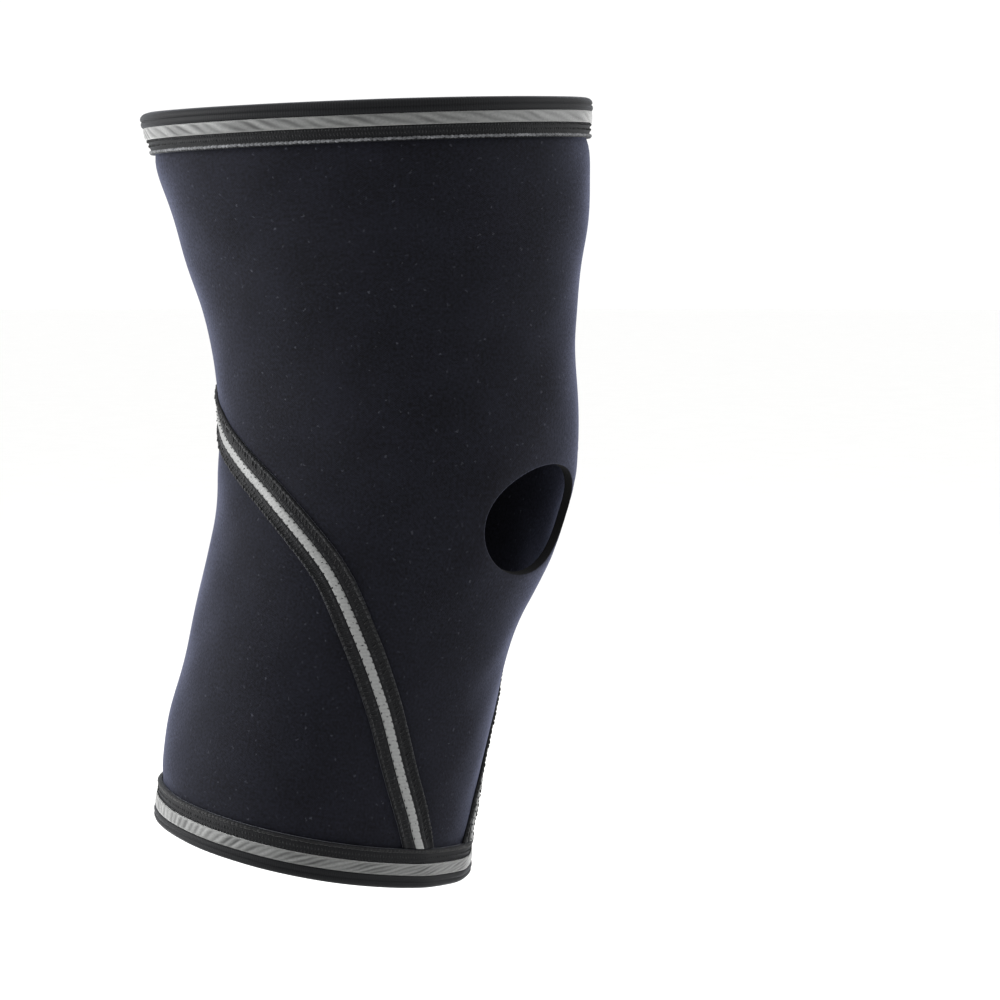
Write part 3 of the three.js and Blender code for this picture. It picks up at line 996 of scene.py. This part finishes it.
def rim_stripe(name, node, end):
    thigh = end == "thigh"
    middle = (STRIPE_START + STRIPE_END) / 2
    pitch, slant, strength = SATIN_RIBS[end]
    around = girth(from_rim(middle, thigh))
    ribs = round(around / pitch)
    width = RIM_STRIPE_WIDTH - 0.2
    bm = closed_strip(round(around / 0.5), 12, 2 * HALF_ROUND, width, STRIPE_FLOOR)
    period = 2 * HALF_ROUND / ribs
    slant = [part * period / pitch for part in slant]
    raise_ribs(
        bm, RIM_STRIPE_TOP, period, slant, RIB_HEIGHT, width / 2, strength, RIB_SPREAD, RIB_DRIFT
    )
    bmesh.ops.translate(bm, vec=(0, from_rim(middle, thigh), 0), verts=bm.verts)
    save_flat_as_uv(bm)
    open_ends(bm, HALF_ROUND)
    put_on(bm)
    close_ring(bm)
    print(name, "ribs:", ribs)
    return finished(name, bm, [rim_grey_with_painted_shade], node)


thigh_stripe = rim_stripe("thigh_rim_stripe", "thigh_stripe", "thigh")
calf_stripe = rim_stripe("calf_rim_stripe", "calf_stripe", "calf")

# %% [markdown]
# ## The seam tape
# The tape covers the join from outside. It lies flat on the foam, with a stripe down its middle and a
# corded edge on each side. It is a closed strip whose top follows a cross-section, laid along the seam's
# line. Both its ends run under the calf rim's binding, so they are cut where that begins.

# %% Seam tape
TAPE_FLOOR = 0.06
TAPE_SECTION = (
    # mm from the stripe's middle towards the front panel, mm above the outer face
    (-6.3, 0.6), (-6.0, 1.1), (-5.3, 1.1), (-4.9, 0.75), (-3.7, 0.75), (-3.2, 1.1),
    (-2.5, 1.2), (-1.9, 1.15), (-1.7, 0.75), (1.7, 0.75), (1.9, 1.15), (2.5, 1.2),
    (3.3, 1.1), (3.8, 0.75), (5.4, 0.75), (5.8, 1.15), (6.6, 1.15), (6.9, 0.6),
)


def cut_at_binding(bm):
    bmesh.ops.bisect_plane(
        bm,
        geom=bm.verts[:] + bm.edges[:] + bm.faces[:],
        plane_co=(0, TAPE_END, 0),
        plane_no=(0, 1, 0),
        clear_inner=True,
    )
    bmesh.ops.holes_fill(bm, edges=[e for e in bm.edges if e.is_boundary], sides=0)
    bmesh.ops.recalc_face_normals(bm, faces=bm.faces)


def seam_piece(name, node, bm, material):
    bmesh.ops.translate(bm, vec=(SEAM_REAL_LENGTH / 2, 0, 0), verts=bm.verts)
    save_flat_as_uv(bm)
    lay_on_seam(bm)
    cut_at_binding(bm)
    put_on(bm)
    return finished(name, bm, [material], node)


beside, lift = zip(*TAPE_SECTION)
width = beside[-1] - beside[0]
bm = closed_strip(round(SEAM_REAL_LENGTH / 0.9), 34, SEAM_REAL_LENGTH, width, TAPE_FLOOR)
bmesh.ops.translate(bm, vec=(0, beside[0] + width / 2, 0), verts=bm.verts)
for vert in bm.verts:
    if vert.co.z > TAPE_FLOOR + 1e-6:
        vert.co.z = float(np.interp(vert.co.y, beside, lift))
seam_tape = seam_piece("arched_seam_tape", "seam_tape", bm, woven_black)

# %% Seam stripe
period, slant, height, strength = 1.4, (0.3, 0), 0.05, (0.25, 0)
width = SEAM_STRIPE_WIDTH - 0.4
bm = closed_strip(round(SEAM_REAL_LENGTH / 0.35), 6, SEAM_REAL_LENGTH, width, STRIPE_FLOOR)
raise_ribs(bm, SEAM_STRIPE_TOP, period, slant, height, width / 2, strength)
seam_stripe = seam_piece("arched_seam_stripe", "seam_stripe", bm, seam_grey)

# %% [markdown]
# ## The stitching
# Bulked thread holds everything: a chain of loops along the tape's edges and along its stripe, fine
# threads that cross between them and over the stripe, two rows along each binding and a chain at its edge.
# One stitch is a stretched ball of a few dozen faces, an Array modifier repeats it along a straight row,
# and the row is laid where the thread runs.

# %% Rows of stitches
def stitch_row(size, slant, pitch, count, start, beside, lift):
    """A straight row of equal stitches along x, as a bmesh."""
    unit = bmesh.new()
    bmesh.ops.create_uvsphere(unit, u_segments=8, v_segments=5, radius=0.5)
    bmesh.ops.rotate(unit, matrix=Matrix.Rotation(math.pi / 2, 3, "Y"), verts=unit.verts)
    bmesh.ops.scale(unit, vec=size, verts=unit.verts)
    bmesh.ops.rotate(unit, matrix=Matrix.Rotation(math.radians(slant), 3, "Z"), verts=unit.verts)
    bmesh.ops.translate(unit, vec=(start, beside, lift), verts=unit.verts)
    mesh = bpy.data.meshes.new("stitch")
    unit.to_mesh(mesh)
    unit.free()
    holder = bpy.data.objects.new("stitch", mesh)
    scene.collection.objects.link(holder)
    array = holder.modifiers.new("row", "ARRAY")
    array.count = count
    array.use_relative_offset, array.use_constant_offset = False, True
    array.constant_offset_displace = (pitch, 0, 0)
    row = bmesh.new()
    row.from_object(holder, bpy.context.evaluated_depsgraph_get())
    bpy.data.objects.remove(holder)
    bpy.data.meshes.remove(mesh)
    return row


def joined(rows):
    """Several bmeshes as one."""
    whole = bmesh.new()
    for row in rows:
        mesh = bpy.data.meshes.new("row")
        row.to_mesh(mesh)
        row.free()
        whole.from_mesh(mesh)
        bpy.data.meshes.remove(mesh)
    return whole


# %% Seam stitches
PROBE_STEP = 0.5
SEAM_WAVER, RIM_WAVER = 0.09, 0.05


def seam_row(beside, size, slant, pitch, lift):
    """A row beside the seam, from the binding on one side to the binding on the other."""
    probe = bmesh.new()
    for run in np.arange(0, SEAM_REAL_LENGTH, PROBE_STEP):
        probe.verts.new((run, beside, 0))
    lay_on_seam(probe)
    clear = np.nonzero(flat_points(probe)[:, 1] > TAPE_END + size[0] / 2)[0]
    probe.free()
    start, end = clear[0] * PROBE_STEP, clear[-1] * PROBE_STEP
    count = int((end - start) / pitch)
    row = stitch_row(size, slant, pitch, count, start, beside, lift)
    lay_on_seam(row)
    return row


SEAM_STITCHES = (
    # mm beside the seam, size, slant, pitch, mm above the face
    (6.2, (1.6, 0.95, 0.55), 16, 1.8, 1.15),
    (-5.6, (1.6, 0.95, 0.55), -16, 1.8, 1.1),
    (2.75, (1.5, 1.1, 0.4), 35, 1.8, 1.0),
    (-2.7, (1.5, 1.1, 0.4), -35, 1.8, 1.0),
)
CROSSING_THREADS = (
    (4.5, (0.45, 2.0, 0.35), 30, 1.8, 0.85),
    (-4.2, (0.45, 1.8, 0.35), -30, 1.8, 0.85),
    (1.5, (0.8, 0.5, 0.35), 25, 2.6, 1.42),
    (-1.45, (0.8, 0.5, 0.35), -25, 3.1, 1.42),
    (0.3, (0.9, 0.28, 0.3), 55, 4.7, 1.4),
)


def waver(bm, amount):
    """Hand-guided stitching wavers beside its line, and its loops stand unevenly high."""
    flat = flat_points(bm)
    run = flat[:, 0]
    flat[:, 1] += amount * (np.sin(0.9 * run) + 0.7 * np.sin(2.3 * run + 1) + 0.5 * np.sin(4.1 * run))
    flat[:, 2] += 1.2 * amount * (np.sin(1.3 * run + 2) + np.sin(2.9 * run))
    move_to(bm, flat)


def seam_thread(name, rows, material):
    bm = joined([seam_row(*stitch) for stitch in rows])
    waver(bm, SEAM_WAVER)
    put_on(bm)
    return finished(name, bm, [material])


threads = [
    seam_thread("seam_cover_stitches", SEAM_STITCHES, charcoal_thread),
    seam_thread("seam_crossing_threads", CROSSING_THREADS, black_thread),
]

# %% Rim stitches
SELVEDGE_STITCHES = ((BINDING_WIDTH - 0.85, (2.3, 1.15, 0.6), 5, 1.75, 1.3),)
CROSSING_STITCHES = (
    # mm from the rim, size, slant, pitch, mm above the face
    (BINDING_WIDTH - 3.0, (0.5, 0.9, 0.4), 15, 1.3, 1.15),
    (STRIPE_END + 0.55, (0.5, 0.8, 0.4), -15, 1.3, 1.2),
)


def rim_row(depth, size, slant, pitch, lift, thigh):
    station = from_rim(depth, thigh)
    count = round(girth(station) / pitch)
    step = 2 * HALF_ROUND / count
    narrower = step / pitch
    size = (size[0] * narrower, *size[1:])
    return stitch_row(size, slant, step, count, -HALF_ROUND, station, lift)


def rim_thread(name, rows, material, thigh):
    bm = joined([rim_row(*stitch, thigh) for stitch in rows])
    waver(bm, RIM_WAVER)
    put_on(bm)
    return finished(name, bm, [material])


threads += [
    rim_thread("thigh_rim_selvedge", SELVEDGE_STITCHES, grey_thread, True),
    # The calf's selvedge is sewn in black thread, and its dark line also stands for the shadow along that
    # binding's edge: partly painted shadow.
    rim_thread("calf_rim_selvedge", SELVEDGE_STITCHES, black_thread, False),
    rim_thread("thigh_rim_stitches", CROSSING_STITCHES, charcoal_thread, True),
    rim_thread("calf_rim_stitches", CROSSING_STITCHES, charcoal_thread, False),
]

# %% Pieces counted for each finish slot
for slot, pieces in (
    ("neoprene_navy", [front_panel, calf_panel]),
    ("woven_black", [seam_tape, thigh_binding, calf_binding] + threads),
    ("woven_grey", [seam_stripe, thigh_stripe, calf_stripe]),
):
    print(slot, "pieces:", len(pieces))

# %% [markdown]
# ## Cloth sizes
# Each panel is a sheet that is cut flat and then stretched over what it's worn on. Neoprene is worn 8 to
# 10 % stretched, but the flat sizes here are not made smaller for it.

# %% [markdown]
# ## Floor, light and camera
# The floor is plain and pale, and the world round it is white, so both soften the light. Two large soft
# panels, left and right and a little behind, rake along the fabric and pale its outline. The camera is
# where the photo was taken from: 61 degrees round to the sleeve's side, 2.3 m away and 3 degrees up.

# %% Floor
FLOOR_HEIGHT = -0.21
FLOOR_RADIUS = 12

pale, tree = empty_material("pale_matt_paper")
place = add_node(tree, "ShaderNodeTexCoord", {})
grain = add_node(
    tree, "ShaderNodeTexNoise", {"Vector": place.outputs["Object"], "Scale": 40, "Detail": 3}
)
colour = add_node(
    tree, "ShaderNodeMix", {0: grain, 6: linear("#f4f4f3"), 7: linear("#fafaf9")}, data_type="RGBA"
)
shader = add_node(tree, "ShaderNodeBsdfPrincipled", {"Base Color": colour.outputs[2], "Roughness": 0.9})
add_node(tree, "ShaderNodeOutputMaterial", {"Surface": shader})

bm = bmesh.new()
bmesh.ops.create_circle(bm, cap_ends=True, segments=96, radius=FLOOR_RADIUS)
bmesh.ops.translate(bm, vec=(0, 0, FLOOR_HEIGHT), verts=bm.verts)
mesh = bpy.data.meshes.new("floor")
bm.to_mesh(mesh)
bm.free()
mesh.materials.append(pale)
floor = bpy.data.objects.new("floor", mesh)
scene.collection.objects.link(floor)

# %% World and lights
WORLD_STRENGTH = 1.06

world = bpy.data.worlds.new("white_studio")
world.use_nodes = True
scene.world = world
background = world.node_tree.nodes["Background"]
background.inputs["Color"].default_value = (1, 1, 1, 1)
background.inputs["Strength"].default_value = WORLD_STRENGTH


def soft_panel(name, place, aim, size, power):
    light = bpy.data.lights.new(name, "AREA")
    light.shape = "RECTANGLE"
    light.size, light.size_y = size
    light.energy = power
    lamp = bpy.data.objects.new(name, light)
    lamp.location = place
    lamp.rotation_euler = (Vector(aim) - Vector(place)).to_track_quat("-Z", "Y").to_euler()
    scene.collection.objects.link(lamp)


AZIMUTH = math.radians(-61)
TOWARDS_CAMERA = Vector((math.sin(AZIMUTH), -math.cos(AZIMUTH), 0))
TO_THE_RIGHT = Vector((math.cos(AZIMUTH), math.sin(AZIMUTH), 0))


def studio_place(right, near, up):
    return TO_THE_RIGHT * right + TOWARDS_CAMERA * near + Vector((0, 0, up))


PANEL_SIZE = (1.2, 1.6)
SLEEVE_CENTRE = (0, 0, 0)
soft_panel("left_panel", studio_place(-1.6, -0.1, 0.5), SLEEVE_CENTRE, PANEL_SIZE, 58)
soft_panel("right_panel", studio_place(1.6, -0.2, 0.5), SLEEVE_CENTRE, PANEL_SIZE, 18)

# %% Camera
ELEVATION = math.radians(3.0)
DISTANCE = 2.3517
IMAGE_PIXELS = 1000
SENSOR_WIDTH = 36
PIXELS_PER_METRE = 1 / 0.00036
FOCAL_PIXELS = DISTANCE * PIXELS_PER_METRE
ORIGIN_PIXEL = (386.93, 495.11)

back = Vector(
    (
        math.sin(AZIMUTH) * math.cos(ELEVATION),
        -math.cos(AZIMUTH) * math.cos(ELEVATION),
        math.sin(ELEVATION),
    )
)
upward = back.cross(TO_THE_RIGHT)
offset_x = (ORIGIN_PIXEL[0] - IMAGE_PIXELS / 2) / FOCAL_PIXELS * DISTANCE
offset_y = -(ORIGIN_PIXEL[1] - IMAGE_PIXELS / 2) / FOCAL_PIXELS * DISTANCE

lens = bpy.data.cameras.new("camera")
lens.sensor_width = SENSOR_WIDTH
lens.lens = FOCAL_PIXELS * SENSOR_WIDTH / IMAGE_PIXELS
lens.clip_start, lens.clip_end = 0.05, 50
camera = bpy.data.objects.new("camera", lens)
camera.location = back * DISTANCE - TO_THE_RIGHT * offset_x - upward * offset_y
camera.rotation_euler = Matrix((TO_THE_RIGHT, upward, back)).transposed().to_euler()
scene.collection.objects.link(camera)
scene.camera = camera
scene.view_settings.view_transform = "Standard"
scene.view_settings.look = "None"
print("lens, mm:", round(lens.lens, 1), "camera at", [round(c, 3) for c in camera.location])
